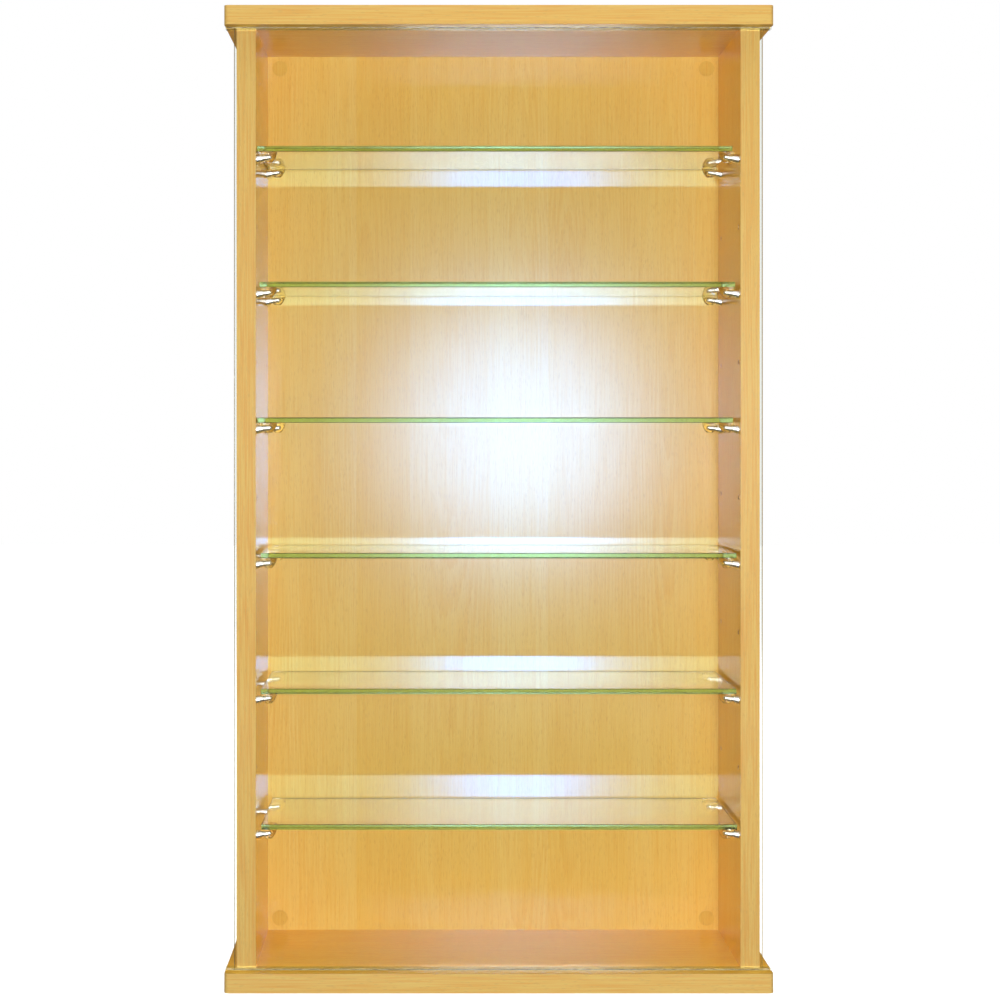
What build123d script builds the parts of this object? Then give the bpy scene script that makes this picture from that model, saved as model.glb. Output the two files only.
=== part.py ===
"""Wall mounted showcase: a shallow beech-effect cabinet with six glass shelves and a sliding front pane.

Millimetres. +Z is up, the front faces -Y, and the wall is at the +Y side. The origin is at the middle
of the underside. Each function returns the pieces of one sub-part, and the last lines write them.
"""
import os
from build123d import *

# ---- the two boards and the carcass between them ----
BOARD_WIDTH = 512.0
BOARD_DEPTH = 160.0
OVERALL_HEIGHT = 920.0
TOP_THICK = 18.0
BASE_THICK = 18.0
SIDE_THICK = 18.0
BACK_THICK = 18.0
SIDE_OVERHANG = 10.0        # how far each board end stands out past its side panel
BOARD_CORNER_R = 4.0        # front upright corners of the boards
BAND_THICK = 1.0            # edge band on the boards and on the side panels' front edges

# ---- the front pane and its two channels ----
CHANNEL_SETBACK = 11.0      # board front to channel
CHANNEL_WIDTH = 7.0
CHANNEL_WALL = 1.0
CHANNEL_WEB = 1.0
CHANNEL_PROUD = 2.2         # what shows of a channel outside its groove
GROOVE_DEPTH = 6.0
GROOVE_PLAY = 0.1           # each side of a channel in its groove
PANE_THICK = 4.0
PANE_OVERLAP = 2.0          # how far the pane stands out past each side panel
PANE_FOOT_GAP = 0.3         # running gap under the pane
PANE_HEAD_GAP = 2.0         # room above the pane
GLASS_ARRIS = 0.4           # ground corner of every glass edge

# ---- shelves and the holes that carry them ----
SHELF_THICK = 5.0
SHELF_SETBACK = 5.0         # panel front to shelf front
SHELF_REAR_GAP = 2.0
SHELF_END_PLAY = 3.5        # each end, with the shelf in the middle
# The shelves lie loose on their pads, so each is a little off the middle, from the top one down.
SHELF_SHIFTS = (-3.1, -0.6, -2.6, 0.7, 0.6, 1.1)
LOWEST_HOLE = 122.5         # base board's top to the axis of the lowest pins
HIGHEST_HOLE = 121.5        # top board's underside to the axis of the highest pins
HOLE_DIA = 5.0
HOLE_DEPTH = 10.0
FRONT_HOLE_SETBACK = 12.0   # panel front to the front row of holes
REAR_HOLE_SETBACK = 15.9    # back panel to the rear row of holes, 96 mm behind the front row

# ---- pins and suction pads ----
PIN_SHANK_PLAY = 0.05       # round the shank in its hole
PIN_SHANK_END_GAP = 1.0     # behind the shank in its hole
PIN_DROP = 6.6              # shelf underside to hole axis
PIN_ROOT_DIA = 8.4          # against the panel
PIN_TIP_DIA = 4.4           # at the rounded end
PIN_REACH = 14.0            # panel to the far side of the rounded end
PIN_RISE = 2.4              # the arm climbs this much from its hole to the end
PAD_REACH = 11.2            # panel to the pad's axis
PAD_DIA = 15.6
PAD_RIM_WIDTH = 0.8
PAD_RIM_THICK = 0.8
PAD_HOLLOW = 0.9
PAD_HEIGHT = 9.4            # glass to the pad's foot
PAD_BELLY_DIA = 12.8        # the dome a little over halfway down
PAD_FOOT_DIA = 6.0
PAD_BORE_PLAY = 0.05        # round the pin in the pad

# ---- wall screw holes and their cover discs ----
WALL_HOLE_DIA = 6.0
WALL_HOLE_INSET = 12.0      # from the inner corners of the carcass, both ways
COUNTERSINK_DIA = 12.0
COVER_DISC_DIA = 15.5
COVER_DISC_THICK = 0.6

# ---- hidden joinery ----
DOWEL_DIA = 8.0
DOWEL_LENGTH = 30.0
DOWEL_BITE = 11.0           # how deep a dowel sits in a board's face
DOWEL_PLAY = 0.05           # round a dowel in its hole
DOWEL_END_GAP = 0.8         # at each end of a dowel
DOWEL_BEVEL = 0.8
PANEL_DOWEL_INSET = 26.0    # from the front edge and from the back panel
BACK_DOWEL_X = 150.0        # upright dowels of the back panel, each side of the middle
BACK_DOWEL_INSET_Z = 60.0   # first and last cross dowel of the back panel
BACK_DOWEL_ROWS = 3
SCREW_DIA = 6.4
SCREW_LENGTH = 50.0
SCREW_HEAD_DIA = 10.0
SCREW_HEAD_DEPTH = 3.0
SCREW_SUNK = 0.2            # the head's top below the board's face
SCREW_PLAY = 0.05           # round the screw in its hole
SCREW_END_GAP = 1.0
HEX_ACROSS_FLATS = 4.0
HEX_DEPTH = 2.6

# ---- planes and sizes that follow ----
FRONT_Y = -BOARD_DEPTH / 2
WALL_Y = BOARD_DEPTH / 2
CHANNEL_Y = FRONT_Y + CHANNEL_SETBACK
PANEL_FRONT_Y = CHANNEL_Y + CHANNEL_WIDTH + GROOVE_PLAY
BACK_FACE_Y = WALL_Y - BACK_THICK
FLOOR_Z = BASE_THICK
CEILING_Z = OVERALL_HEIGHT - TOP_THICK
INNER_HEIGHT = CEILING_Z - FLOOR_Z
SIDE_OUTER_X = BOARD_WIDTH / 2 - SIDE_OVERHANG
SIDE_INNER_X = SIDE_OUTER_X - SIDE_THICK
SIDE_MIDDLE_X = (SIDE_OUTER_X + SIDE_INNER_X) / 2
BACK_MIDDLE_Y = (BACK_FACE_Y + WALL_Y) / 2
HOLE_ROWS_Y = (PANEL_FRONT_Y + FRONT_HOLE_SETBACK, BACK_FACE_Y - REAR_HOLE_SETBACK)
SHELF_COUNT = len(SHELF_SHIFTS)
SHELF_PITCH = (INNER_HEIGHT - LOWEST_HOLE - HIGHEST_HOLE) / (SHELF_COUNT - 1)   # 128 mm
SIDES = (-1, 1)


def box(x0, x1, y0, y1, z0, z1):
    """A block between two opposite corners."""
    low_corner = (Align.MIN, Align.MIN, Align.MIN)
    return Pos(x0, y0, z0) * Box(x1 - x0, y1 - y0, z1 - z0, align=low_corner)


def rod(start, direction, diameter, length):
    """A round rod, or a drill, that begins at a point and runs along a direction."""
    return Plane(origin=start, z_dir=direction) * Cylinder(
        diameter / 2, length, align=(Align.CENTER, Align.CENTER, Align.MIN))


def shelf_hole_z(number):
    """Height of the pins of shelf 1 (the top one), 2 and so on; 1.5 is the spare pair below shelf 1."""
    return FLOOR_Z + LOWEST_HOLE + SHELF_PITCH * (SHELF_COUNT - number)


def spare_numbers():
    """The spare pairs of holes lie midway between two shelves."""
    return [number + 0.5 for number in range(1, SHELF_COUNT)]


def shelf_numbers():
    return range(1, SHELF_COUNT + 1)


# ---------------------------------------------------------------- dowels and carcass screws

def panel_dowel_seats():
    """Where a dowel crosses from a side panel's end into the board above or below it."""
    seats = []
    for side in SIDES:
        for y in (PANEL_FRONT_Y + PANEL_DOWEL_INSET, BACK_FACE_Y - PANEL_DOWEL_INSET):
            seats.append(((side * SIDE_MIDDLE_X, y, CEILING_Z), (0, 0, 1)))
            seats.append(((side * SIDE_MIDDLE_X, y, FLOOR_Z), (0, 0, -1)))
    return seats


def back_dowel_seats():
    """Where a dowel crosses from the back panel's edges into the boards and the side panels."""
    seats = []
    for side in SIDES:
        seats.append(((side * BACK_DOWEL_X, BACK_MIDDLE_Y, CEILING_Z), (0, 0, 1)))
        seats.append(((side * BACK_DOWEL_X, BACK_MIDDLE_Y, FLOOR_Z), (0, 0, -1)))
        first = FLOOR_Z + BACK_DOWEL_INSET_Z
        step = (INNER_HEIGHT - 2 * BACK_DOWEL_INSET_Z) / (BACK_DOWEL_ROWS - 1)
        for row in range(BACK_DOWEL_ROWS):
            seats.append(((side * SIDE_INNER_X, BACK_MIDDLE_Y, first + row * step), (side, 0, 0)))
    return seats


def moved(point, direction, distance):
    """The point a distance along a direction."""
    return tuple(p + d * distance for p, d in zip(point, direction))


def dowel(seat):
    """A round beech dowel with bevelled ends, from the edge of one board into the face of the next."""
    joint, direction = seat
    start = moved(joint, direction, DOWEL_BITE - DOWEL_LENGTH)
    peg = rod(start, direction, DOWEL_DIA - 2 * DOWEL_PLAY, DOWEL_LENGTH)
    return chamfer(peg.edges().filter_by(GeomType.CIRCLE), DOWEL_BEVEL)


def dowel_drill(seat):
    """The two holes that one dowel sits in, as one drill."""
    joint, direction = seat
    start = moved(joint, direction, DOWEL_BITE - DOWEL_LENGTH - DOWEL_END_GAP)
    return rod(start, direction, DOWEL_DIA, DOWEL_LENGTH + 2 * DOWEL_END_GAP)


def screw_seats():
    """Where a carcass screw enters: the boards' outer faces over the middle of the side panels."""
    y = (PANEL_FRONT_Y + BACK_FACE_Y) / 2
    seats = []
    for side in SIDES:
        seats.append(((side * SIDE_MIDDLE_X, y, OVERALL_HEIGHT), (0, 0, -1)))
        seats.append(((side * SIDE_MIDDLE_X, y, 0), (0, 0, 1)))
    return seats


def countersunk(face_point, direction, diameter, head_diameter, head_depth, length):
    """A countersunk screw's body without its socket, or the hole for one."""
    head = Plane(origin=face_point, z_dir=direction) * Cone(
        head_diameter / 2, diameter / 2, head_depth, align=(Align.CENTER, Align.CENTER, Align.MIN))
    return head + rod(face_point, direction, diameter, length)


def carcass_screw(seat):
    """A countersunk carcass screw with a hexagon socket, its head just under the board's face."""
    face_point, direction = seat
    head_point = moved(face_point, direction, SCREW_SUNK)
    body = countersunk(head_point, direction, SCREW_DIA - 2 * SCREW_PLAY,
                       SCREW_HEAD_DIA - 2 * SCREW_PLAY, SCREW_HEAD_DEPTH, SCREW_LENGTH)
    hexagon = RegularPolygon(HEX_ACROSS_FLATS / 2, 6, major_radius=False)
    socket = extrude(Plane(origin=head_point, z_dir=direction) * hexagon, HEX_DEPTH)
    return body - socket


def screw_drill(seat):
    """The countersunk hole for one carcass screw, through the board and into the panel's end."""
    face_point, direction = seat
    sink = rod(face_point, direction, SCREW_HEAD_DIA, SCREW_SUNK)
    head_point = moved(face_point, direction, SCREW_SUNK)
    return sink + countersunk(head_point, direction, SCREW_DIA, SCREW_HEAD_DIA, SCREW_HEAD_DEPTH,
                              SCREW_LENGTH + SCREW_END_GAP)


def joinery_drills():
    drills = [dowel_drill(seat) for seat in panel_dowel_seats() + back_dowel_seats()]
    return drills + [screw_drill(seat) for seat in screw_seats()]


# ---------------------------------------------------------------- boards, bands and channels

def board_outline(margin):
    """A board seen from above, with rounded front corners, set in by a margin at front and ends."""
    width = BOARD_WIDTH - 2 * margin
    depth = BOARD_DEPTH - margin
    sheet = Pos(0, margin / 2) * Rectangle(width, depth)
    front_corners = sheet.vertices().group_by(Axis.Y)[0]
    return fillet(front_corners, BOARD_CORNER_R - margin)


def channel_groove(inner_face_z, up):
    """The groove for a pane channel, from end to end of a board; up is 1 in the top board, -1 in the base."""
    z0, z1 = sorted((inner_face_z, inner_face_z + up * GROOVE_DEPTH))
    return box(-BOARD_WIDTH, BOARD_WIDTH, CHANNEL_Y - GROOVE_PLAY, CHANNEL_Y + CHANNEL_WIDTH + GROOVE_PLAY,
               z0, z1)


def board(bottom_z, thickness, inner_face_z, up):
    """The wood-effect board itself, without its edge band."""
    slab = Pos(0, 0, bottom_z) * extrude(board_outline(BAND_THICK), thickness)
    slab -= channel_groove(inner_face_z, up)
    return slab - joinery_drills()


def board_band(bottom_z, thickness, inner_face_z, up):
    """One strip of edge band round the left end, the front and the right end of a board."""
    strip = board_outline(0) - board_outline(BAND_THICK)
    band = Pos(0, 0, bottom_z) * extrude(strip, thickness)
    return band - channel_groove(inner_face_z, up)


def pane_channel(inner_face_z, up):
    """A U profile pressed into its groove, as long as the board and open at both ends."""
    height = GROOVE_DEPTH + CHANNEL_PROUD
    z0, z1 = sorted((inner_face_z + up * GROOVE_DEPTH, inner_face_z - up * CHANNEL_PROUD))
    profile = box(-BOARD_WIDTH / 2, BOARD_WIDTH / 2, CHANNEL_Y, CHANNEL_Y + CHANNEL_WIDTH, z0, z1)
    slot_z = inner_face_z + up * (GROOVE_DEPTH - CHANNEL_WEB)
    s0, s1 = sorted((slot_z, slot_z - up * height))
    slot = box(-BOARD_WIDTH, BOARD_WIDTH, CHANNEL_Y + CHANNEL_WALL, CHANNEL_Y + CHANNEL_WIDTH - CHANNEL_WALL,
               s0, s1)
    return profile - slot


# ---------------------------------------------------------------- side panels and back panel

def pin_hole_drills(side):
    """Both rows of pin holes in one side panel: a pair for each shelf and the spare pairs between."""
    drills = []
    for number in [*shelf_numbers(), *spare_numbers()]:
        for y in HOLE_ROWS_Y:
            mouth = (side * SIDE_INNER_X, y, shelf_hole_z(number))
            drills.append(rod(mouth, (side, 0, 0), HOLE_DIA, HOLE_DEPTH))
    return drills


def side_panel(side):
    """An upright side panel, between the two boards and behind its front edge band."""
    x0, x1 = sorted((side * SIDE_INNER_X, side * SIDE_OUTER_X))
    slab = box(x0, x1, PANEL_FRONT_Y + BAND_THICK, WALL_Y, FLOOR_Z, CEILING_Z)
    return slab - pin_hole_drills(side) - joinery_drills()


def side_band(side):
    """The strip of edge band on a side panel's front edge."""
    x0, x1 = sorted((side * SIDE_INNER_X, side * SIDE_OUTER_X))
    return box(x0, x1, PANEL_FRONT_Y, PANEL_FRONT_Y + BAND_THICK, FLOOR_Z, CEILING_Z)


def wall_hole_places():
    """The four wall screw holes, as X and Z."""
    x = SIDE_INNER_X - WALL_HOLE_INSET
    heights = (FLOOR_Z + WALL_HOLE_INSET, CEILING_Z - WALL_HOLE_INSET)
    return [(side * x, z) for side in SIDES for z in heights]


def back_panel():
    """The back panel between the side panels, with four countersunk wall screw holes."""
    slab = box(-SIDE_INNER_X, SIDE_INNER_X, BACK_FACE_Y, WALL_Y, FLOOR_Z, CEILING_Z)
    sink_depth = (COUNTERSINK_DIA - WALL_HOLE_DIA) / 2
    for x, z in wall_hole_places():
        slab -= countersunk((x, BACK_FACE_Y, z), (0, 1, 0), WALL_HOLE_DIA, COUNTERSINK_DIA, sink_depth,
                            BACK_THICK)
    return slab - joinery_drills()


def cover_discs():
    """Thin wood-effect discs stuck over the wall screw holes."""
    discs = []
    for x, z in wall_hole_places():
        disc = rod((x, BACK_FACE_Y, z), (0, -1, 0), COVER_DISC_DIA, COVER_DISC_THICK)
        discs.append(disc)
    return discs


# ---------------------------------------------------------------- glass

def glass_sheet(x0, x1, y0, y1, z0, z1):
    """A sheet of float glass with ground corners all round."""
    sheet = box(x0, x1, y0, y1, z0, z1)
    return chamfer(sheet.edges(), GLASS_ARRIS)


def front_pane():
    """The one pane that slides sideways in the two channels."""
    pane_y = CHANNEL_Y + (CHANNEL_WIDTH - PANE_THICK) / 2
    foot_z = FLOOR_Z - GROOVE_DEPTH + CHANNEL_WEB + PANE_FOOT_GAP
    head_z = CEILING_Z + GROOVE_DEPTH - CHANNEL_WEB - PANE_HEAD_GAP
    half_width = SIDE_OUTER_X + PANE_OVERLAP
    return glass_sheet(-half_width, half_width, pane_y, pane_y + PANE_THICK, foot_z, head_z)


def glass_shelf(number):
    """One loose glass shelf, a little off the middle, on its four suction pads."""
    half_length = SIDE_INNER_X - SHELF_END_PLAY
    shift = SHELF_SHIFTS[number - 1]
    underside = shelf_hole_z(number) + PIN_DROP
    return glass_sheet(shift - half_length, shift + half_length, PANEL_FRONT_Y + SHELF_SETBACK,
                       BACK_FACE_Y - SHELF_REAR_GAP, underside, underside + SHELF_THICK)


# ---------------------------------------------------------------- pins and suction pads

def support_places(number):
    """Side, Y and hole height of the four supports of one shelf."""
    return [(side, y, shelf_hole_z(number)) for side in SIDES for y in HOLE_ROWS_Y]


def pin_arm(side, y, z, play=0.0):
    """The arm of a pin: it tapers and climbs out of the panel to a rounded end. play makes it fatter."""
    tip_r = PIN_TIP_DIA / 2
    face = Plane(origin=(side * SIDE_INNER_X, y, z), z_dir=(-side, 0, 0))
    tip = (side * (SIDE_INNER_X - PIN_REACH + tip_r), y, z + PIN_RISE)
    end = Plane(origin=tip, z_dir=(-side, 0, 0))
    taper = loft([face * Circle(PIN_ROOT_DIA / 2 + play), end * Circle(tip_r + play)])
    round_end = end * Sphere(tip_r + play, arc_size1=0, align=(Align.CENTER, Align.CENTER, Align.MIN))
    return taper + round_end


def shelf_pin(side, y, z):
    """A pin: a plain shank in the panel and a tapered arm outside it."""
    face = (side * SIDE_INNER_X, y, z)
    shank = rod(face, (side, 0, 0), HOLE_DIA - 2 * PIN_SHANK_PLAY, HOLE_DEPTH - PIN_SHANK_END_GAP)
    return shank + pin_arm(side, y, z)


def suction_pad(side, y, z):
    """A clear dome under the glass, hollow on its top face and pushed over the end of the pin's arm."""
    rim = PAD_DIA / 2
    rim_foot = (rim, -PAD_RIM_THICK)
    foot = (PAD_FOOT_DIA / 2, -PAD_HEIGHT)
    belly = (PAD_BELLY_DIA / 2, (rim_foot[1] + foot[1]) / 2)
    dome = ThreePointArc(rim_foot, belly, foot)
    rest = Polyline(foot, (0, -PAD_HEIGHT), (0, -PAD_HOLLOW), (rim - PAD_RIM_WIDTH, 0), (rim, 0), rim_foot)
    half_section = Plane.XZ * make_face([*dome.edges(), *rest.edges()])
    under_glass = Pos(side * (SIDE_INNER_X - PAD_REACH), y, z + PIN_DROP)
    return under_glass * revolve(half_section, Axis.Z) - pin_arm(side, y, z, PAD_BORE_PLAY)


# ---------------------------------------------------------------- the files

def write(node, pieces):
    """One STEP file for one node; a group of like pieces stays a group of separate solids."""
    shape = Compound(children=list(pieces)) if isinstance(pieces, list) else pieces
    export_step(shape, f"parts/{node}.step")


os.makedirs("parts", exist_ok=True)
TOP = (CEILING_Z, TOP_THICK, CEILING_Z, 1)
BASE = (0, BASE_THICK, FLOOR_Z, -1)
write("top_board", board(*TOP))
write("top_board_band", board_band(*TOP))
write("base_board", board(*BASE))
write("base_board_band", board_band(*BASE))
write("upper_channel", pane_channel(CEILING_Z, 1))
write("lower_channel", pane_channel(FLOOR_Z, -1))
for side_name, side_sign in zip(("left", "right"), SIDES):
    write(f"{side_name}_side_panel", side_panel(side_sign))
    write(f"{side_name}_side_band", side_band(side_sign))
write("back_panel", back_panel())
write("cover_discs", cover_discs())
write("front_pane", front_pane())
for shelf in shelf_numbers():
    places = support_places(shelf)
    write(f"glass_shelf_{shelf}", glass_shelf(shelf))
    write(f"shelf_{shelf}_pins", [shelf_pin(*place) for place in places])
    write(f"shelf_{shelf}_pads", [suction_pad(*place) for place in places])
write("side_panel_dowels", [dowel(seat) for seat in panel_dowel_seats()])
write("back_panel_dowels", [dowel(seat) for seat in back_dowel_seats()])
write("carcass_screws", [carcass_screw(seat) for seat in screw_seats()])
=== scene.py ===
"""The looks of a wall mounted showcase: foiled beech-effect boards, float glass and nickelled shelf pins.

Metres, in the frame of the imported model: +Z up, the front faces -Y, the wall is at +Y.
"""
import math

import bpy
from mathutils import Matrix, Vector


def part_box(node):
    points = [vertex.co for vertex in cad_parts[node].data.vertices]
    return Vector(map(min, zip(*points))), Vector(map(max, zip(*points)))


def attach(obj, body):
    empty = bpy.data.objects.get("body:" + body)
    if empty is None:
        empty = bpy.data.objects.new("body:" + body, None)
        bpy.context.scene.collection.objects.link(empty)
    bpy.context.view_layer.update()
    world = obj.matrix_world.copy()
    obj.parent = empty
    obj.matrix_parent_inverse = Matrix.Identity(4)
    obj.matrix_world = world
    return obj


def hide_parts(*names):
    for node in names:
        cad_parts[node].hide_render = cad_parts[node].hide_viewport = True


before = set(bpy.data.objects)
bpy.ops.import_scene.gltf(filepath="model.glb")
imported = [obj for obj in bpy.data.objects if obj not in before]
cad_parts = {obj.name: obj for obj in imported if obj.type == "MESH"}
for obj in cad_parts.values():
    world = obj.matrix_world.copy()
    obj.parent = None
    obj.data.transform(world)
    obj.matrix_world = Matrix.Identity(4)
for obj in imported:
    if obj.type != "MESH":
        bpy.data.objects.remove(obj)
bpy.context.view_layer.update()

# ================================================================ top board and base board
# Two 18 mm boards of chipboard, pressed between sheets of foil printed as beech. The print repeats narrow
# leaves of veneer laid side by side. Everything else is dowelled and screwed to these two boards.


def linear(hex_colour):
    """An sRGB hex colour as the linear RGBA that a shader takes."""
    channels = [int(hex_colour[i:i + 2], 16) / 255 for i in (1, 3, 5)]
    return (*[c / 12.92 if c <= 0.04045 else ((c + 0.055) / 1.055) ** 2.4 for c in channels], 1.0)


def add(tree, kind, settings=None, links=None):
    """Adds one node. A setting is a property or an input's value, and a link gives an input its source."""
    node = tree.nodes.new(kind)
    for key, value in (settings or {}).items():
        if isinstance(key, str) and hasattr(node, key):
            setattr(node, key, value)
        else:
            node.inputs[key].default_value = value
    for key, source in (links or {}).items():
        output = source.outputs[0] if isinstance(source, bpy.types.Node) else source
        tree.links.new(output, node.inputs[key])
    return node


def new_finish(name):
    """An empty material and its node tree."""
    material = bpy.data.materials.new(name)
    material.use_nodes = True
    material.node_tree.nodes.clear()
    return material, material.node_tree


def wear(node, material):
    """Gives a CAD node its finish."""
    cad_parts[node].material_slots[0].material = material


COLOUR, FIRST, SECOND = {"data_type": "RGBA"}, 6, 7      # a colour Mix node and its two colour inputs
RESULT = 2                                               # its colour output

LEAF_WIDTH = 0.068        # one leaf of printed veneer, on average
RING_PITCH = 0.0034       # growth rings, 3 to 4 mm apart in beech
LOG_TAPER = -0.055        # how fast a leaf runs out of its log, which draws the pointed figure
BEECH_LIGHT = "#F9CD71"
BEECH_WARM = "#F8C766"
BEECH_LEAF = "#F7C35E"
BEECH_RING = "#ECA542"
BEECH_PORE = "#CF8E45"


def beech_print(tree, axes, shift):
    """Printed beech: its colour and its grain height. axes says which way is across, through and along."""
    place = add(tree, "ShaderNodeTexCoord")
    xyz = add(tree, "ShaderNodeSeparateXYZ", {}, {0: place.outputs["Object"]})
    turned = add(tree, "ShaderNodeCombineXYZ", {}, {i: xyz.outputs[axis] for i, axis in enumerate(axes)})
    sheet = add(tree, "ShaderNodeMapping", {"Location": shift}, {"Vector": turned})
    across, _, along = add(tree, "ShaderNodeSeparateXYZ", {}, {0: sheet}).outputs

    # Leaves of veneer of uneven width, each cut from its own place in the log.
    leaf = add(tree, "ShaderNodeTexVoronoi", {"voronoi_dimensions": "1D", "Scale": 1 / LEAF_WIDTH},
               {"W": across})
    chance = add(tree, "ShaderNodeSeparateColor", {}, {0: leaf.outputs["Color"]})
    aside = add(tree, "ShaderNodeMath", {"operation": "SUBTRACT"}, {0: across, 1: leaf.outputs["W"]})
    from_heart = add(tree, "ShaderNodeMath", {"operation": "MULTIPLY_ADD", 1: 0.02},
                     {0: chance.outputs[0], 2: aside})
    first_depth = add(tree, "ShaderNodeMath", {"operation": "MULTIPLY_ADD", 1: 0.04, 2: 0.02},
                      {0: chance.outputs[1]})
    depth = add(tree, "ShaderNodeMath", {"operation": "MULTIPLY_ADD", 1: LOG_TAPER},
                {0: along, 2: first_depth})

    # Growth rings round the heart of the log, a little out of round and ragged.
    cut = add(tree, "ShaderNodeCombineXYZ", {}, {0: from_heart, 1: depth})
    radius = add(tree, "ShaderNodeVectorMath", {"operation": "LENGTH"}, {0: cut})
    patterns = {}
    for name, per_metre, detail in (("bend", (9, 9, 3.2), 2), ("ragged", (300, 300, 24), 2),
                                    ("figure", (13, 13, 3.6), 2), ("streak", (55, 55, 1.1), 3),
                                    ("fibre", (900, 900, 16), 3)):
        grid = add(tree, "ShaderNodeVectorMath", {"operation": "MULTIPLY", 1: per_metre}, {0: sheet})
        patterns[name] = add(tree, "ShaderNodeTexNoise", {"Scale": 1.0, "Detail": detail}, {"Vector": grid})
    bent = add(tree, "ShaderNodeMath", {"operation": "MULTIPLY_ADD", 1: 0.022},
               {0: patterns["bend"], 2: radius.outputs["Value"]})
    ragged = add(tree, "ShaderNodeMath", {"operation": "MULTIPLY_ADD", 1: 0.003},
                 {0: patterns["ragged"], 2: bent})
    rings = add(tree, "ShaderNodeMath", {"operation": "DIVIDE", 1: RING_PITCH}, {0: ragged})
    ring = add(tree, "ShaderNodeMath", {"operation": "FRACT"}, {0: rings})
    late_wood = add(tree, "ShaderNodeMapRange", {"interpolation_type": "SMOOTHSTEP", 1: 0.2, 2: 0.95},
                    {0: ring})
    shown = add(tree, "ShaderNodeMapRange", {1: 0.42, 2: 0.7, 3: 0.02, 4: 0.36}, {0: patterns["figure"]})
    ring_share = add(tree, "ShaderNodeMath", {"operation": "MULTIPLY"}, {0: late_wood, 1: shown})

    # Short dark dashes, the rays of beech, 1 mm wide where the real ones are 0.3 mm, or none would show.
    dashes = add(tree, "ShaderNodeVectorMath", {"operation": "MULTIPLY", 1: (620, 620, 105)}, {0: sheet})
    cells = add(tree, "ShaderNodeTexVoronoi", {"Scale": 1.0}, {"Vector": dashes})
    dash = add(tree, "ShaderNodeMapRange", {1: 0.14, 2: 0.32, 3: 0.3, 4: 0.0}, {0: cells.outputs["Distance"]})

    streak = add(tree, "ShaderNodeMapRange", {1: 0.36, 2: 0.66}, {0: patterns["streak"]})
    ground = add(tree, "ShaderNodeMix", {**COLOUR, FIRST: linear(BEECH_LIGHT), SECOND: linear(BEECH_WARM)},
                 {0: streak})
    toned = add(tree, "ShaderNodeMix", {**COLOUR, SECOND: linear(BEECH_LEAF)},
                {0: chance.outputs[2], FIRST: ground.outputs[RESULT]})
    ringed = add(tree, "ShaderNodeMix", {**COLOUR, SECOND: linear(BEECH_RING)},
                 {0: ring_share, FIRST: toned.outputs[RESULT]})
    fibre_share = add(tree, "ShaderNodeMapRange", {1: 0.42, 2: 0.72, 3: 0.0, 4: 0.42}, {0: patterns["fibre"]})
    fibred = add(tree, "ShaderNodeMix", {**COLOUR, SECOND: linear(BEECH_RING)},
                 {0: fibre_share, FIRST: ringed.outputs[RESULT]})
    dashed = add(tree, "ShaderNodeMix", {**COLOUR, SECOND: linear(BEECH_PORE)},
                 {0: dash, FIRST: fibred.outputs[RESULT]})
    height = add(tree, "ShaderNodeMath", {"operation": "SUBTRACT"}, {0: patterns["fibre"], 1: dash})
    return dashed.outputs[RESULT], height.outputs[0]


CHIP_LIGHT = "#D2B183"
CHIP_DARK = "#A07B4C"


def chipboard(tree):
    """Cut chipboard: pressed flakes 1 to 3 mm long, in pale and brown."""
    place = add(tree, "ShaderNodeTexCoord")
    grid = add(tree, "ShaderNodeVectorMath", {"operation": "MULTIPLY", 1: (420, 420, 700)},
               {0: place.outputs["Object"]})
    flakes = add(tree, "ShaderNodeTexVoronoi", {"Scale": 1.0}, {"Vector": grid})
    tone = add(tree, "ShaderNodeSeparateColor", {}, {0: flakes.outputs["Color"]})
    colour = add(tree, "ShaderNodeMix", {**COLOUR, FIRST: linear(CHIP_LIGHT), SECOND: linear(CHIP_DARK)},
                 {0: tone})
    return colour.outputs[RESULT], flakes.outputs["Distance"]


FOIL_GLOSS, CHIP_GLOSS = 0.21, 0.8        # roughness: satin foil, open chipboard
FOIL_SHEEN = "#95C5FF"                    # the lacquer on the foil has a cool sheen
GRAZING_GLOSS = 0.08                      # a satin foil mirrors sharply at a flat angle
WARM_INK, COOL_INK = "#FFF9B8", "#F5FFFF"  # two runs of the print, the first more orange
FACE_SKIN = 0.00005                       # how near to a board's face still counts as its foil


def satin(tree, gloss):
    """Roughness that falls from gloss towards a flat angle of view, as on every satin film."""
    slant = add(tree, "ShaderNodeLayerWeight", {"Blend": 0.5})
    return add(tree, "ShaderNodeMapRange", {1: 0.55, 2: 0.95, 3: gloss, 4: GRAZING_GLOSS},
               {0: slant.outputs["Facing"]})


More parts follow.
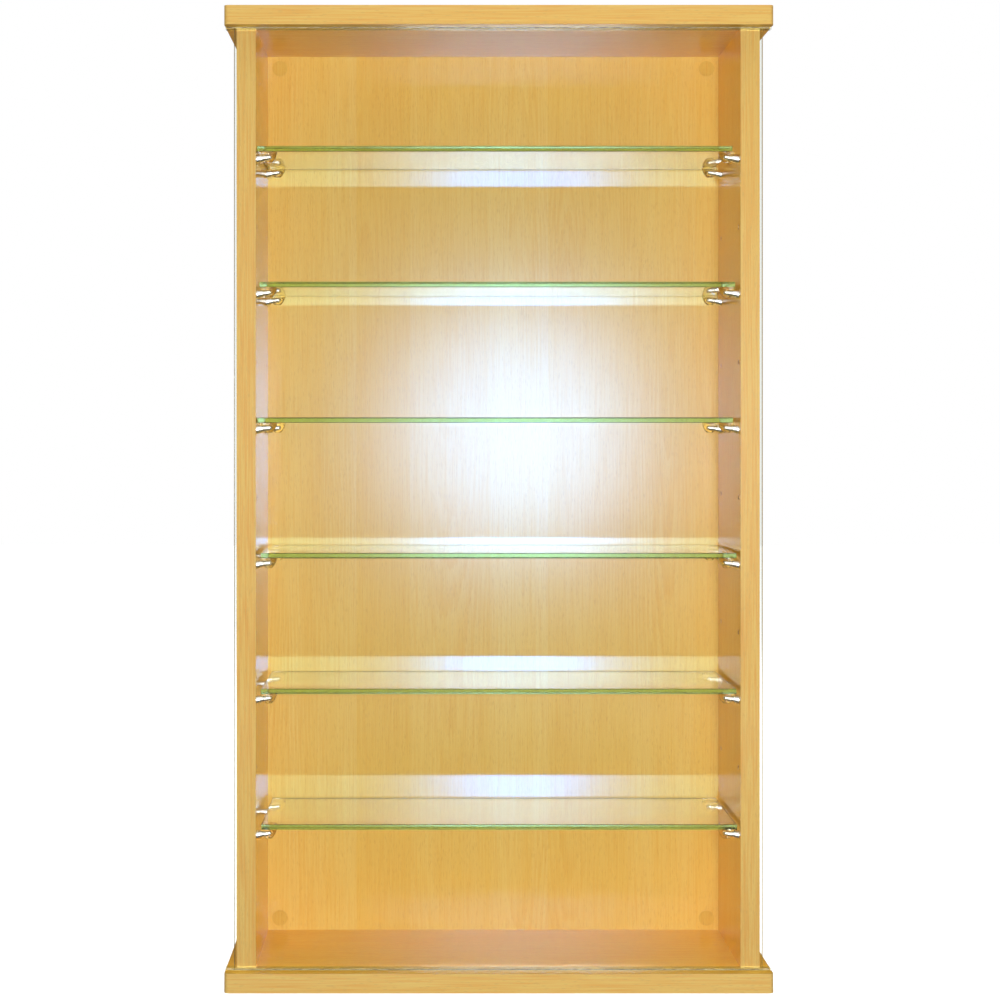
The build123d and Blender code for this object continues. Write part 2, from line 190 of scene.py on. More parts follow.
def foiled_board(node, axes, shift, ink=WARM_INK):
    """Chipboard between two sheets of beech foil; edges, grooves and holes cut through it show the chips."""
    material, tree = new_finish(f"beech_melamine_{node}")
    low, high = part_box(node)
    middle, half = (low[axes[1]] + high[axes[1]]) / 2, (high[axes[1]] - low[axes[1]]) / 2
    place = add(tree, "ShaderNodeTexCoord")
    xyz = add(tree, "ShaderNodeSeparateXYZ", {}, {0: place.outputs["Object"]})
    offset = add(tree, "ShaderNodeMath", {"operation": "SUBTRACT", 1: middle}, {0: xyz.outputs[axes[1]]})
    away = add(tree, "ShaderNodeMath", {"operation": "ABSOLUTE"}, {0: offset})
    foil = add(tree, "ShaderNodeMath", {"operation": "GREATER_THAN", 1: half - FACE_SKIN}, {0: away})
    beech, grain = beech_print(tree, axes, shift)
    inked = add(tree, "ShaderNodeMix", {**COLOUR, "blend_type": "MULTIPLY", 0: 1.0, SECOND: linear(ink)},
                {FIRST: beech})
    chips, rough_face = chipboard(tree)
    colour = add(tree, "ShaderNodeMix", COLOUR, {0: foil, FIRST: chips, SECOND: inked.outputs[RESULT]})
    gloss = add(tree, "ShaderNodeMix", {2: CHIP_GLOSS}, {0: foil, 3: satin(tree, FOIL_GLOSS)})
    height = add(tree, "ShaderNodeMix", {}, {0: foil, 2: rough_face, 3: grain})
    bump = add(tree, "ShaderNodeBump", {"Strength": 0.12, "Distance": 0.0002}, {"Height": height})
    shader = add(tree, "ShaderNodeBsdfPrincipled",
                 {"IOR": 1.6, "Specular IOR Level": 0.33, "Specular Tint": linear(FOIL_SHEEN)},
                 {"Base Color": colour.outputs[RESULT], "Roughness": gloss, "Normal": bump})
    add(tree, "ShaderNodeOutputMaterial", {}, {"Surface": shader})
    wear(node, material)


ALONG_X, ALONG_Z_SIDE, ALONG_Z_BACK = (1, 2, 0), (1, 0, 2), (0, 1, 2)    # across, through, along
foiled_board("top_board", ALONG_X, (0.31, 0.0, 0.55))
foiled_board("base_board", ALONG_X, (1.27, 0.0, 0.42))

# ================================================================ side panels and back panel
# The same foiled chipboard with the grain upright. The side panels stand between the two boards, drilled
# for shelf pins, and the back panel fits between the side panels.
foiled_board("left_side_panel", ALONG_Z_SIDE, (2.11, 0.0, 0.0))
foiled_board("right_side_panel", ALONG_Z_SIDE, (3.46, 0.0, 0.1))
foiled_board("back_panel", ALONG_Z_BACK, (4.62, 0.0, 0.05), COOL_INK)

# ================================================================ edge bands
# Strips of ABS edge band 1 mm thick, printed to match the foil, glued round the front and ends of the
# boards and down the front edges of the side panels.
BAND_GLOSS = 0.22
SIDE_INK, BOARD_INK = "#F6FAFF", "#EEF8FF"     # the print on each band, a little paler than on the foil
BAND_PALENESS = 0.035
BAND_FIBRE, BAND_FIGURE = "#FFDDB4", 0.45       # the print's fibres show more strongly on the bands


def banded_edge(node, axes, shift, ink):
    """Printed ABS band: the same beech, a little paler than the foil."""
    material, tree = new_finish(f"beech_abs_{node}")
    beech, grain = beech_print(tree, axes, shift)
    inked = add(tree, "ShaderNodeMix", {**COLOUR, "blend_type": "MULTIPLY", 0: 1.0, SECOND: linear(ink)},
                {FIRST: beech})
    figure = add(tree, "ShaderNodeMapRange", {1: 0.4, 2: 0.62, 3: 0.0, 4: BAND_FIGURE}, {0: grain})
    figured = add(tree, "ShaderNodeMix", {**COLOUR, "blend_type": "MULTIPLY", SECOND: linear(BAND_FIBRE)},
                  {0: figure, FIRST: inked.outputs[RESULT]})
    pale = add(tree, "ShaderNodeMix", {**COLOUR, 0: BAND_PALENESS, SECOND: linear("#FFFFFF")},
               {FIRST: figured.outputs[RESULT]})
    bump = add(tree, "ShaderNodeBump", {"Strength": 0.12, "Distance": 0.0002}, {"Height": grain})
    shader = add(tree, "ShaderNodeBsdfPrincipled",
                 {"IOR": 1.5, "Specular IOR Level": 0.35, "Roughness": BAND_GLOSS},
                 {"Base Color": pale.outputs[RESULT], "Normal": bump})
    add(tree, "ShaderNodeOutputMaterial", {}, {"Surface": shader})
    wear(node, material)


banded_edge("top_board_band", (2, 1, 0), (5.13, 0.0, 0.6), BOARD_INK)
banded_edge("base_board_band", (2, 1, 0), (6.08, 0.0, 0.3), BOARD_INK)
banded_edge("left_side_band", ALONG_Z_BACK, (7.31, 0.0, 0.0), SIDE_INK)
banded_edge("right_side_band", ALONG_Z_BACK, (8.27, 0.0, 0.2), SIDE_INK)

# ================================================================ dowels
# Pegs that locate the panels in the boards: turned beech, kiln dried and so paler than the print, bevelled
# at both ends, with flutes pressed along them that let glue and air out of the blind holes.
PEG_LIGHT, PEG_DARK = "#DFC198", "#C69E6C"
material, tree = new_finish("turned_beech")
place = add(tree, "ShaderNodeTexCoord")
grain = add(tree, "ShaderNodeTexNoise", {"Scale": 900.0, "Detail": 2}, {"Vector": place.outputs["Object"]})
colour = add(tree, "ShaderNodeMix", {**COLOUR, FIRST: linear(PEG_LIGHT), SECOND: linear(PEG_DARK)},
             {0: grain})
shader = add(tree, "ShaderNodeBsdfPrincipled", {"Roughness": 0.65}, {"Base Color": colour.outputs[RESULT]})
add(tree, "ShaderNodeOutputMaterial", {}, {"Surface": shader})
peg_finish = material


def piece_tree(name, sizes):
    """A Geometry Nodes tree with an input for the seats, one for the finish and one for each named size."""
    tree = bpy.data.node_groups.new(name, "GeometryNodeTree")
    tree.interface.new_socket("Seats", in_out="INPUT", socket_type="NodeSocketGeometry")
    tree.interface.new_socket("Finish", in_out="INPUT", socket_type="NodeSocketMaterial")
    for size in sizes:
        tree.interface.new_socket(size, in_out="INPUT", socket_type="NodeSocketFloat")
    tree.interface.new_socket("Pieces", in_out="OUTPUT", socket_type="NodeSocketGeometry")
    return tree, tree.nodes.new("NodeGroupInput").outputs


def set_on_seats(tree, given, shape):
    """Ends a tree: the shape on every seat, turned to run along it, as one real mesh with its finish."""
    run = add(tree, "GeometryNodeInputNamedAttribute", {"data_type": "FLOAT_VECTOR", "Name": "run"})
    turn = add(tree, "FunctionNodeAlignRotationToVector", {"axis": "Z"}, {"Vector": run})
    copies = add(tree, "GeometryNodeInstanceOnPoints", {},
                 {"Points": given["Seats"], "Instance": shape, "Rotation": turn})
    real = add(tree, "GeometryNodeRealizeInstances", {}, {"Geometry": copies})
    finished = add(tree, "GeometryNodeSetMaterial", {}, {"Geometry": real, "Material": given["Finish"]})
    add(tree, "NodeGroupOutput", {}, {0: finished})


def grow(name, seats, tree, sizes, finish):
    """Runs a tree on a fastener's seats, each a start and a direction, and replaces the CAD node with it."""
    mesh = bpy.data.meshes.new(name + "_seats")
    mesh.from_pydata([start for start, _ in seats], [], [])
    run = mesh.attributes.new("run", "FLOAT_VECTOR", "POINT")
    for number, (_, direction) in enumerate(seats):
        run.data[number].vector = direction
    grower = bpy.data.objects.new(name + "_seats", mesh)
    bpy.context.scene.collection.objects.link(grower)
    modifier = grower.modifiers.new("grow", "NODES")
    modifier.node_group = tree
    values = {**sizes, "Finish": finish}
    for socket in tree.interface.items_tree:
        if socket.name in values:
            modifier[socket.identifier] = values[socket.name]
    made = bpy.data.meshes.new_from_object(grower.evaluated_get(bpy.context.evaluated_depsgraph_get()))
    grower.modifiers.remove(modifier)
    bpy.data.objects.remove(grower)
    piece = bpy.data.objects.new(name + "_pieces", made)
    bpy.context.scene.collection.objects.link(piece)
    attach(piece, "carcass")
    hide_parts(name)


FLUTES = 16
PEG_SIZES = {"Length": 0.030, "Radius": 0.00395, "Bevel": 0.0008, "Flute depth": 0.00025}

# A fluted outline carried along a line of four points, the first and the last drawn in by the bevel.
tree, given = piece_tree("fluted_peg", PEG_SIZES)
ring = add(tree, "GeometryNodeCurvePrimitiveCircle", {"Resolution": FLUTES * 4}, {"Radius": given["Radius"]})
spot = add(tree, "GeometryNodeInputIndex")
phase = add(tree, "ShaderNodeMath", {"operation": "MULTIPLY", 1: math.tau / 4}, {0: spot})
wave = add(tree, "ShaderNodeMath", {"operation": "COSINE"}, {0: phase})
sunk = add(tree, "ShaderNodeMapRange", {1: 1.0, 2: -1.0, 3: 0.0}, {0: wave, 4: given["Flute depth"]})
inwards = add(tree, "ShaderNodeMath", {"operation": "MULTIPLY", 1: -1.0}, {0: sunk})
outline_place = add(tree, "GeometryNodeInputPosition")
outwards = add(tree, "ShaderNodeVectorMath", {"operation": "NORMALIZE"}, {0: outline_place})
step = add(tree, "ShaderNodeVectorMath", {"operation": "SCALE"}, {0: outwards, "Scale": inwards})
outline = add(tree, "GeometryNodeSetPosition", {}, {"Geometry": ring, "Offset": step})
last_start = add(tree, "ShaderNodeMath", {"operation": "SUBTRACT"}, {0: given["Length"], 1: given["Bevel"]})
number = add(tree, "GeometryNodeInputIndex")
low_half = add(tree, "ShaderNodeMath", {"operation": "MINIMUM", 1: 1.0}, {0: number})
low_place = add(tree, "ShaderNodeMath", {"operation": "MULTIPLY"}, {0: low_half, 1: given["Bevel"]})
upper = add(tree, "ShaderNodeMath", {"operation": "GREATER_THAN", 1: 1.5}, {0: number})
middle_run = add(tree, "ShaderNodeMath", {"operation": "SUBTRACT"}, {0: last_start, 1: given["Bevel"]})
middle_place = add(tree, "ShaderNodeMath", {"operation": "MULTIPLY_ADD"},
                   {0: upper, 1: middle_run, 2: low_place})
end = add(tree, "ShaderNodeMath", {"operation": "GREATER_THAN", 1: 2.5}, {0: number})
height = add(tree, "ShaderNodeMath", {"operation": "MULTIPLY_ADD"},
             {0: end, 1: given["Bevel"], 2: middle_place})
up = add(tree, "ShaderNodeCombineXYZ", {}, {2: height})
beads = add(tree, "GeometryNodeMeshLine", {"Count": 4, "Offset": (0.0, 0.0, 0.0)})
spaced = add(tree, "GeometryNodeSetPosition", {}, {"Geometry": beads, "Position": up})
spine = add(tree, "GeometryNodeMeshToCurve", {}, {0: spaced})
from_middle = add(tree, "ShaderNodeMath", {"operation": "SUBTRACT", 1: 1.5}, {0: number})
how_far = add(tree, "ShaderNodeMath", {"operation": "ABSOLUTE"}, {0: from_middle})
at_end = add(tree, "ShaderNodeMath", {"operation": "GREATER_THAN", 1: 1.0}, {0: how_far})
drawn_in = add(tree, "ShaderNodeMath", {"operation": "DIVIDE"}, {0: given["Bevel"], 1: given["Radius"]})
less = add(tree, "ShaderNodeMath", {"operation": "MULTIPLY"}, {0: at_end, 1: drawn_in})
share = add(tree, "ShaderNodeMath", {"operation": "SUBTRACT", 0: 1.0}, {1: less})
swept = add(tree, "GeometryNodeSetCurveRadius", {}, {"Curve": spine, "Radius": share})
peg = add(tree, "GeometryNodeCurveToMesh", {"Fill Caps": True}, {"Curve": swept, "Profile Curve": outline})
set_on_seats(tree, given, peg)

low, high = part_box("side_panel_dowels")
radius = PEG_SIZES["Radius"]
grow("side_panel_dowels", [((x, y, z), (0.0, 0.0, run)) for x in (low[0] + radius, high[0] - radius)
                           for y in (low[1] + radius, high[1] - radius)
                           for z, run in ((low[2], 1.0), (high[2], -1.0))], tree, PEG_SIZES, peg_finish)
BACK_PEG_X = 0.150              # the upright pegs of the back panel, each side of the middle
BACK_PEG_INSET = 0.060          # the first and the last cross peg, from the back panel's ends
low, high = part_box("back_panel_dowels")
panel_low, panel_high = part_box("back_panel")
middle_y = (low[1] + high[1]) / 2
upright = [((x, middle_y, z), (0.0, 0.0, run)) for x in (-BACK_PEG_X, BACK_PEG_X)
           for z, run in ((low[2], 1.0), (high[2], -1.0))]
rows = (panel_low[2] + BACK_PEG_INSET, (panel_low[2] + panel_high[2]) / 2, panel_high[2] - BACK_PEG_INSET)
crossing = [((x, middle_y, z), (run, 0.0, 0.0)) for x, run in ((low[0], 1.0), (high[0], -1.0)) for z in rows]
grow("back_panel_dowels", upright + crossing, tree, PEG_SIZES, peg_finish)

# ================================================================ carcass screws
# Countersunk screws of zinc-plated steel with a hexagon socket and a coarse rolled thread, driven through the
# boards into the side panels' ends. Rolled and plated, so bright, with a slightly clouded gloss.
ZINC = "#B9BEC2"
material, tree = new_finish("zinc_plated_steel")
place = add(tree, "ShaderNodeTexCoord")
cloud = add(tree, "ShaderNodeTexNoise", {"Scale": 260.0, "Detail": 2}, {"Vector": place.outputs["Object"]})
gloss = add(tree, "ShaderNodeMapRange", {3: 0.28, 4: 0.42}, {0: cloud})
shader = add(tree, "ShaderNodeBsdfPrincipled", {"Base Color": linear(ZINC), "Metallic": 1.0},
             {"Roughness": gloss})
add(tree, "ShaderNodeOutputMaterial", {}, {"Surface": shader})
screw_finish = material

CORE_TIP, THREAD_TIP = 0.0012, 0.0016      # radii at the screw's point
SCREW_SIZES = {"Length": 0.050, "Head radius": 0.00495, "Head depth": 0.003, "Core radius": 0.0023,
               "Thread radius": 0.00315, "Neck radius": 0.00315, "Neck": 0.014, "Socket radius": 0.00231,
               "Socket depth": 0.0026}
THREAD_PITCH = 0.003
THREAD_TURNS = 10.5
ROUND = 32                      # sides of every round part


def moved_up(tree, shape, height):
    """A shape moved along the screw, away from its head."""
    place = add(tree, "ShaderNodeCombineXYZ", {}, {2: height})
    return add(tree, "GeometryNodeTransform", {}, {0: shape, "Translation": place})


# The head is a cone with a hexagonal prism cut from it. Neck, core and point are cones too, and the thread
# is a spiral with a sharp three-sided outline.
tree, given = piece_tree("countersunk_screw", SCREW_SIZES)
cone = add(tree, "GeometryNodeMeshCone", {"Vertices": ROUND},
           {"Radius Top": given["Neck radius"], "Radius Bottom": given["Head radius"],
            "Depth": given["Head depth"]})
both_ways = add(tree, "ShaderNodeMath", {"operation": "MULTIPLY", 1: 2.0}, {0: given["Socket depth"]})
prism = add(tree, "GeometryNodeMeshCylinder", {"Vertices": 6},
            {"Radius": given["Socket radius"], "Depth": both_ways})
head = add(tree, "GeometryNodeMeshBoolean", {"operation": "DIFFERENCE"}, {0: cone, 1: prism})
neck_length = add(tree, "ShaderNodeMath", {"operation": "SUBTRACT"},
                  {0: given["Neck"], 1: given["Head depth"]})
neck = add(tree, "GeometryNodeMeshCone", {"Vertices": ROUND},
           {"Radius Top": given["Neck radius"], "Radius Bottom": given["Neck radius"], "Depth": neck_length})
neck_placed = moved_up(tree, neck, given["Head depth"])
core_length = add(tree, "ShaderNodeMath", {"operation": "SUBTRACT"}, {0: given["Length"], 1: given["Neck"]})
core = add(tree, "GeometryNodeMeshCone", {"Vertices": ROUND, "Radius Top": CORE_TIP},
           {"Radius Bottom": given["Core radius"], "Depth": core_length})
core_placed = moved_up(tree, core, given["Neck"])
spiral = add(tree, "GeometryNodeCurveSpiral",
             {"Resolution": ROUND, "Rotations": THREAD_TURNS, "Height": THREAD_PITCH * THREAD_TURNS,
              "End Radius": THREAD_TIP}, {"Start Radius": given["Core radius"]})
depth = add(tree, "ShaderNodeMath", {"operation": "SUBTRACT"},
            {0: given["Thread radius"], 1: given["Core radius"]})
ridge = add(tree, "GeometryNodeCurvePrimitiveCircle", {"Resolution": 3}, {"Radius": depth})
thread = add(tree, "GeometryNodeCurveToMesh", {"Fill Caps": True}, {"Curve": spiral, "Profile Curve": ridge})
thread_placed = moved_up(tree, thread, given["Neck"])
whole = tree.nodes.new("GeometryNodeJoinGeometry")
for part in (thread_placed, core_placed, neck_placed, head):
    tree.links.new(part.outputs[0], whole.inputs[0])
set_on_seats(tree, given, whole)

low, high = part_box("carcass_screws")
radius = SCREW_SIZES["Head radius"]
middle_y = (low[1] + high[1]) / 2
grow("carcass_screws", [((x, middle_y, z), (0.0, 0.0, run)) for x in (low[0] + radius, high[0] - radius)
                        for z, run in ((low[2], 1.0), (high[2], -1.0))], tree, SCREW_SIZES, screw_finish)


# ================================================================ pane channels
# U profiles of extruded clear PVC, pressed into the grooves of both boards. The wood shows through them,
# and only the lips catch the light.
def let_lamps_through(tree, shader):
    """Lamps light what is behind clear glass or plastic, which a sharp refraction would leave dark."""
    path = add(tree, "ShaderNodeLightPath")
    open_way = add(tree, "ShaderNodeBsdfTransparent")
    surface = add(tree, "ShaderNodeMixShader", {}, {0: path.outputs["Is Shadow Ray"], 1: shader, 2: open_way})
    add(tree, "ShaderNodeOutputMaterial", {}, {"Surface": surface})


PVC_TINT = "#E2E8E6"
THIN_PVC_IOR = 1.25       # PVC's own is 1.53; set lower, so that the wood shows through the thin walls
material, tree = new_finish("extruded_pvc")
place = add(tree, "ShaderNodeTexCoord")
lines = add(tree, "ShaderNodeVectorMath", {"operation": "MULTIPLY", 1: (12, 900, 900)},
            {0: place.outputs["Object"]})
drawn = add(tree, "ShaderNodeTexNoise", {"Scale": 1.0, "Detail": 1}, {"Vector": lines})
gloss = add(tree, "ShaderNodeMapRange", {3: 0.04, 4: 0.12}, {0: drawn})
shader = add(tree, "ShaderNodeBsdfPrincipled",
             {"Base Color": linear(PVC_TINT), "IOR": THIN_PVC_IOR, "Transmission Weight": 1.0},
             {"Roughness": gloss})
let_lamps_through(tree, shader)
wear("upper_channel", material)
wear("lower_channel", material)

# ================================================================ shelf pins
# Cast zinc pins, nickel plated and bright: a plain shank pushed into the panel, and a tapered arm that
# climbs from it into the suction pad and ends in a round tip.
NICKEL = "#EFEEEC"
material, tree = new_finish("bright_nickel")
place = add(tree, "ShaderNodeTexCoord")
cloud = add(tree, "ShaderNodeTexNoise", {"Scale": 420.0, "Detail": 2}, {"Vector": place.outputs["Object"]})
gloss = add(tree, "ShaderNodeMapRange", {3: 0.2, 4: 0.32}, {0: cloud})
shader = add(tree, "ShaderNodeBsdfPrincipled", {"Base Color": linear(NICKEL), "Metallic": 1.0},
             {"Roughness": gloss})
add(tree, "ShaderNodeOutputMaterial", {}, {"Surface": shader})
SHELVES = range(1, 7)
for shelf in SHELVES:
    wear(f"shelf_{shelf}_pins", material)


# ================================================================ suction pads
# Soft clear PVC domes, moulded with a side bore that the pin's arm is pressed into. The thin rim of each
# grips the glass shelf from below.
CLEAR_PVC = "#FBF7EE"
SOFT_PVC_IOR = 1.25       # PVC's own is 1.53; set lower, so that the pads hardly show, as the real ones
material, tree = new_finish("clear_soft_pvc")
place = add(tree, "ShaderNodeTexCoord")
haze = add(tree, "ShaderNodeTexNoise", {"Scale": 300.0, "Detail": 1}, {"Vector": place.outputs["Object"]})
gloss = add(tree, "ShaderNodeMapRange", {3: 0.05, 4: 0.14}, {0: haze})
shader = add(tree, "ShaderNodeBsdfPrincipled",
             {"Base Color": linear(CLEAR_PVC), "IOR": SOFT_PVC_IOR, "Transmission Weight": 1.0},
             {"Roughness": gloss})
let_lamps_through(tree, shader)
for shelf in SHELVES:
    wear(f"shelf_{shelf}_pads", material)

# ================================================================ glass shelves and front pane
# Clear float glass with ground edges: 5 mm shelves that lie loose on their pads, and one 4 mm pane that
# slides in the channels. Iron in the glass turns every edge green, because light crosses the whole sheet.
GLASS_FACE, SHELF_EDGE, PANE_EDGE = "#F6FBF6", "#CDFFBC", "#E4F2E2"
FACE_GLOSS, EDGE_GLOSS = 0.0, 0.1         # polished faces, ground edges
GLASS_IOR = 1.52


def float_glass(name, through, edge_green):
    """Clear on its two faces and green on its ground edges. through is the axis through the sheet."""
    material, tree = new_finish(name)
    facing = add(tree, "ShaderNodeNewGeometry")
    xyz = add(tree, "ShaderNodeSeparateXYZ", {}, {0: facing.outputs["True Normal"]})
    slope = add(tree, "ShaderNodeMath", {"operation": "ABSOLUTE"}, {0: xyz.outputs[through]})
    edge = add(tree, "ShaderNodeMath", {"operation": "LESS_THAN", 1: 0.9}, {0: slope})
    colour = add(tree, "ShaderNodeMix", {**COLOUR, FIRST: linear(GLASS_FACE), SECOND: linear(edge_green)},
                 {0: edge})
    gloss = add(tree, "ShaderNodeMapRange", {3: FACE_GLOSS, 4: EDGE_GLOSS}, {0: edge})
    shader = add(tree, "ShaderNodeBsdfPrincipled", {"IOR": GLASS_IOR, "Transmission Weight": 1.0},
                 {"Base Color": colour.outputs[RESULT], "Roughness": gloss})
    let_lamps_through(tree, shader)
    return material


shelf_glass = float_glass("float_glass_shelf", 2, SHELF_EDGE)
for shelf in SHELVES:
    wear(f"glass_shelf_{shelf}", shelf_glass)
wear("front_pane", float_glass("float_glass_pane", 1, PANE_EDGE))

# ================================================================ cover discs
# Discs punched from self-adhesive beech foil, stuck over the four wall screws. Their print is a little darker
# than the panel's.
DISC_INK = "#E4E8D4"
material, tree = new_finish("beech_foil_disc")
beech, grain = beech_print(tree, ALONG_Z_BACK, (9.4, 0.0, 0.3))
darker = add(tree, "ShaderNodeMix", {**COLOUR, "blend_type": "MULTIPLY", 0: 1.0, SECOND: linear(DISC_INK)},
             {FIRST: beech})
shader = add(tree, "ShaderNodeBsdfPrincipled", {"IOR": 1.5, "Specular IOR Level": 0.15, "Roughness": 0.42},
             {"Base Color": darker.outputs[RESULT]})
add(tree, "ShaderNodeOutputMaterial", {}, {"Surface": shader})
wear("cover_discs", material)

# ================================================================ room, lamps and camera
# A pale studio: a wide floor, an even white surround, one lamp in front that does most, large soft ones that
# lift the shadows, and two behind for the outer faces.
FLOOR_SIZE = 12.0
bpy.ops.mesh.primitive_plane_add(size=FLOOR_SIZE)
floor = bpy.context.object
floor.name = "studio_floor"
material, tree = new_finish("matt_white_floor")
path = add(tree, "ShaderNodeLightPath")
bounces = add(tree, "ShaderNodeMath", {"operation": "ADD"},
              {0: path.outputs["Diffuse Depth"], 1: path.outputs["Glossy Depth"]})
bounced = add(tree, "ShaderNodeMapRange", {3: 0.9, 4: 0.08}, {0: bounces})
paint = add(tree, "ShaderNodeCombineColor", {}, {i: bounced for i in range(3)})
shader = add(tree, "ShaderNodeBsdfDiffuse", {}, {"Color": paint})
add(tree, "ShaderNodeOutputMaterial", {}, {"Surface": shader})
floor.data.materials.append(material)

SURROUND_LIGHT = 0.08     # what the surround gives; seen straight or through glass it is white
world = bpy.data.worlds.new("studio")
world.use_nodes = True
world.node_tree.nodes.clear()
path = add(world.node_tree, "ShaderNodeLightPath")
bounces = add(world.node_tree, "ShaderNodeMath", {"operation": "ADD"},
              {0: path.outputs["Diffuse Depth"], 1: path.outputs["Glossy Depth"]})
strength = add(world.node_tree, "ShaderNodeMapRange", {3: 1.0, 4: SURROUND_LIGHT}, {0: bounces})
background = add(world.node_tree, "ShaderNodeBackground", {"Color": (1.0, 1.0, 1.0, 1.0)},
                 {"Strength": strength})
add(world.node_tree, "ShaderNodeOutputWorld", {}, {"Surface": background})
bpy.context.scene.world = world

FRONT_LAMP, FRONT_WATTS = (0.132, -2.0, 0.52), 33.0
ROOM_MIDDLE = (0.0, 0.06, 0.5)


def light_link(name, things, state):
    """A collection of things that a lamp either lights or shades alone, or leaves out."""
    group = bpy.data.collections.new(name)
    for number, thing in enumerate(things):
        group.objects.link(thing)
        group.collection_objects[number].light_linking.link_state = state
    return group


def studio_lamp(name, place, size, watts, target, lit, shading, colour=(1.0, 1.0, 1.0)):
    """A round lamp that looks at target. lit and shading are the collections it lights and is shaded by."""
    light = bpy.data.lights.new(name, "AREA")
    light.shape = "DISK"
    light.size = size
    light.energy = watts
    light.color = colour
    lamp = bpy.data.objects.new(name, light)
    lamp.visible_transmission = False
    lamp.light_linking.receiver_collection = lit
    lamp.light_linking.blocker_collection = shading
    bpy.context.scene.collection.objects.link(lamp)
    lamp.location = place
    towards = [t - p for t, p in zip(target, place)]
    lamp.rotation_euler = (math.acos(-towards[2] / math.hypot(*towards)), 0.0,
                           math.atan2(towards[1], towards[0]) - math.pi / 2)


# Each glass shelf throws part of the front lamp's light on the panels. A pinpoint lamp at the front lamp's
# mirror image in the shelf gives that light, through a card with a hole of the shelf's outline.
CARD_AHEAD = 0.3          # from its lamp to the card
CARD_REACH = 0.22         # from the middle of the hole to the card's rim
PINPOINT = 0.0005
THROWN_COLOUR, THROWN_GAIN = (0.19, 0.4, 0.64), 1.8     # cool, so that the orange panels show it as white


def glass_mirrors(cosine):
    """The share of light that the two faces of a glass sheet mirror, from the cosine of its angle to them."""
    bent = math.sqrt(1 - (1 - cosine ** 2) / GLASS_IOR ** 2)
    upright = ((cosine - GLASS_IOR * bent) / (cosine + GLASS_IOR * bent)) ** 2
    level = ((GLASS_IOR * cosine - bent) / (GLASS_IOR * cosine + bent)) ** 2
    one_face = (upright + level) / 2
    return 2 * one_face / (1 + one_face)


material, tree = new_finish("black_card")
shader = add(tree, "ShaderNodeBsdfDiffuse", {"Color": (0.01, 0.01, 0.01, 1.0)})
add(tree, "ShaderNodeOutputMaterial", {}, {"Surface": shader})
panels_only = light_link("panels_only", [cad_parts[name] for name in (
    "back_panel", "left_side_panel", "right_side_panel")], "INCLUDE")
cards = []
for shelf in SHELVES:
    low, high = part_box(f"glass_shelf_{shelf}")
    face = low[2] if FRONT_LAMP[2] < low[2] else high[2]
    image = (FRONT_LAMP[0], FRONT_LAMP[1], 2 * face - FRONT_LAMP[2])
    hole = []
    for x, y in ((low[0], low[1]), (high[0], low[1]), (high[0], high[1]), (low[0], high[1])):
        share = CARD_AHEAD / (y - image[1])
        hole.append((image[0] + share * (x - image[0]), image[1] + CARD_AHEAD,
                     image[2] + share * (face - image[2])))
    middle = [sum(corner[i] for corner in hole) / len(hole) for i in range(3)]
    rim = [(middle[0] + math.copysign(CARD_REACH, x - middle[0]), y,
            middle[2] + math.copysign(CARD_REACH, z - middle[2])) for x, y, z in hole]
    mesh = bpy.data.meshes.new(f"card_{shelf}")
    mesh.from_pydata(hole + rim, [], [(i, (i + 1) % 4, 4 + (i + 1) % 4, 4 + i) for i in range(4)])
    mesh.materials.append(material)
    card = bpy.data.objects.new(f"card_{shelf}", mesh)
    bpy.context.scene.collection.objects.link(card)
    card.visible_camera = card.visible_diffuse = card.visible_glossy = card.visible_transmission = False
    cards.append(card)
    fall = (low[1] + high[1]) / 2 - FRONT_LAMP[1]
    mirrored = glass_mirrors(abs(face - FRONT_LAMP[2]) / math.hypot(fall, face - FRONT_LAMP[2]))
    studio_lamp(f"thrown_light_{shelf}", image, PINPOINT, FRONT_WATTS * mirrored * THROWN_GAIN, ROOM_MIDDLE,
                panels_only, light_link(f"card_{shelf}_only", [card], "INCLUDE"), THROWN_COLOUR)

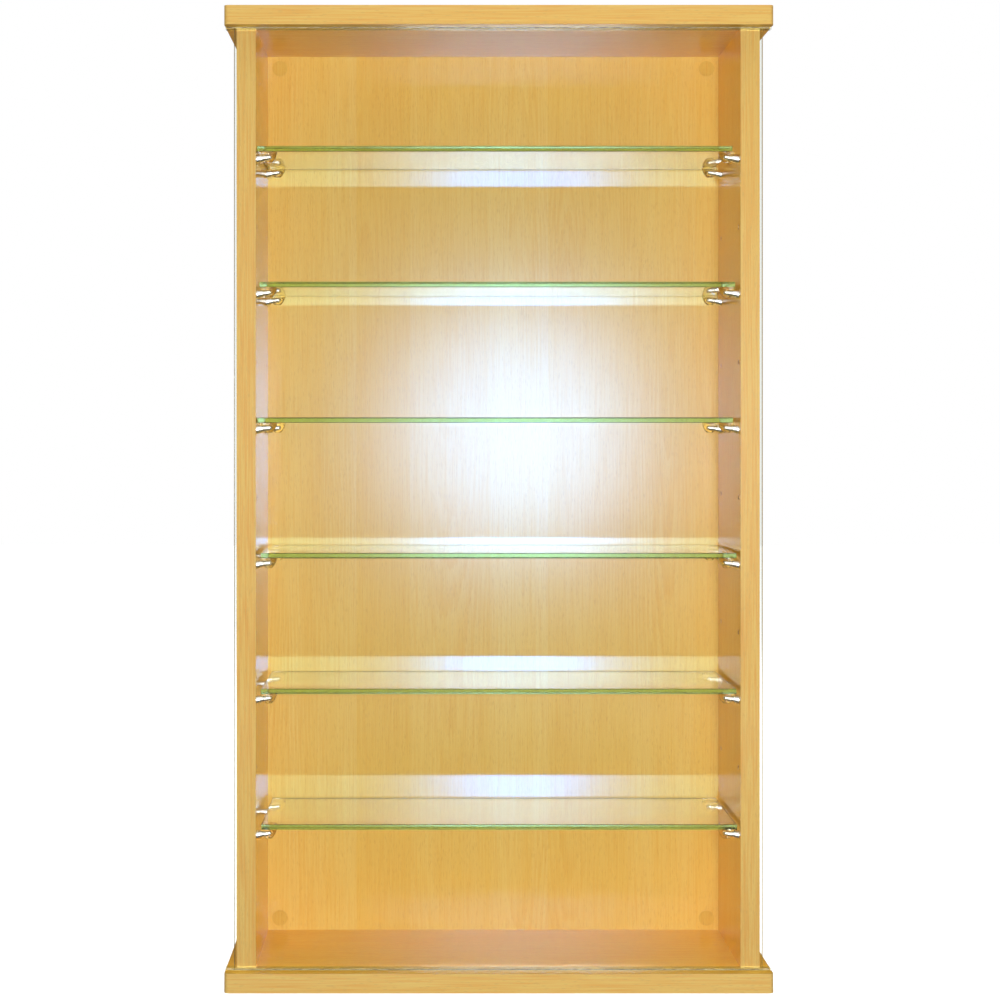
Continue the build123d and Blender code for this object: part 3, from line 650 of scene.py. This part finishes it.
all_but_glass = light_link("all_but_glass", [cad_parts[name] for name in (
    "front_pane", *(f"glass_shelf_{shelf}" for shelf in SHELVES))], "EXCLUDE")
floor_only = light_link("floor_only", [floor], "INCLUDE")
no_cards = light_link("no_cards", cards, "EXCLUDE")
studio_lamp("front_lamp", FRONT_LAMP, 0.5, FRONT_WATTS, ROOM_MIDDLE, all_but_glass, no_cards)
studio_lamp("soft_lamp", (0.0, -2.4, 0.8), 1.8, 2.0, (0.0, 0.0, 0.45), all_but_glass, no_cards)
studio_lamp("top_lamp", (0.0, -0.4, 2.6), 2.2, 14.0, (0.0, 0.01, 0.4), all_but_glass, no_cards)
for side, name in ((-1, "left_rear_lamp"), (1, "right_rear_lamp")):
    studio_lamp(name, (side * 1.8, 1.6, 0.55), 0.6, 30.0, (side * 0.1, 0.08, 0.45), all_but_glass, no_cards)
# Warm washes on single panels, as a room's walls give. The base board's is yellower.
WALL_LIGHT, BASE_LIGHT = (1.0, 0.75, 0.4), (1.0, 1.0, 0.3)
base_only = light_link("base_board_only", [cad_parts["base_board"]], "INCLUDE")
studio_lamp("base_board_wash", (0.0, -1.0, 1.6), 1.0, 5.0, (0.0, 0.0, 0.018), base_only, no_cards, BASE_LIGHT)
pins_only = light_link("pins_only", [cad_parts[f"shelf_{shelf}_pins"] for shelf in SHELVES], "INCLUDE")
studio_lamp("pin_lamp", (0.0, -1.6, 0.9), 2.4, 20.0, ROOM_MIDDLE, pins_only, no_cards)
for side, panel, watts in ((-1, "left_side_panel", 6.0), (1, "right_side_panel", 13.0)):
    wall_only = light_link(f"{panel}_only", [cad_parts[panel]], "INCLUDE")
    studio_lamp(f"{panel}_wash", (-side * 0.9, -1.6, 0.46), 1.0, watts, (side * 0.228, 0.0, 0.46),
                wall_only, no_cards, WALL_LIGHT)
FLOOR_LIGHT = 3.6         # straight down on the floor alone, which it turns white
light = bpy.data.lights.new("floor_light", "SUN")
light.energy = FLOOR_LIGHT
light.angle = 0.02
lamp = bpy.data.objects.new("floor_light", light)
lamp.light_linking.receiver_collection = floor_only
lamp.light_linking.blocker_collection = no_cards
bpy.context.scene.collection.objects.link(lamp)

EYE = (-0.0659, -1.672, 0.5257)          # where the camera stands, square on, 1.61 m from the side panels
FILM_WIDTH, LENS = 36.0, 61.58           # millimetres
SHIFT = (0.0719, -0.0715)                # shares of the picture's width
camera_data = bpy.data.cameras.new("camera")
camera_data.sensor_width = FILM_WIDTH
camera_data.lens = LENS
camera_data.shift_x, camera_data.shift_y = SHIFT
camera = bpy.data.objects.new("camera", camera_data)
bpy.context.scene.collection.objects.link(camera)
camera.location = EYE
camera.rotation_euler = (math.pi / 2, 0.0, 0.0)
bpy.context.scene.camera = camera
bpy.context.scene.view_settings.view_transform = "Standard"
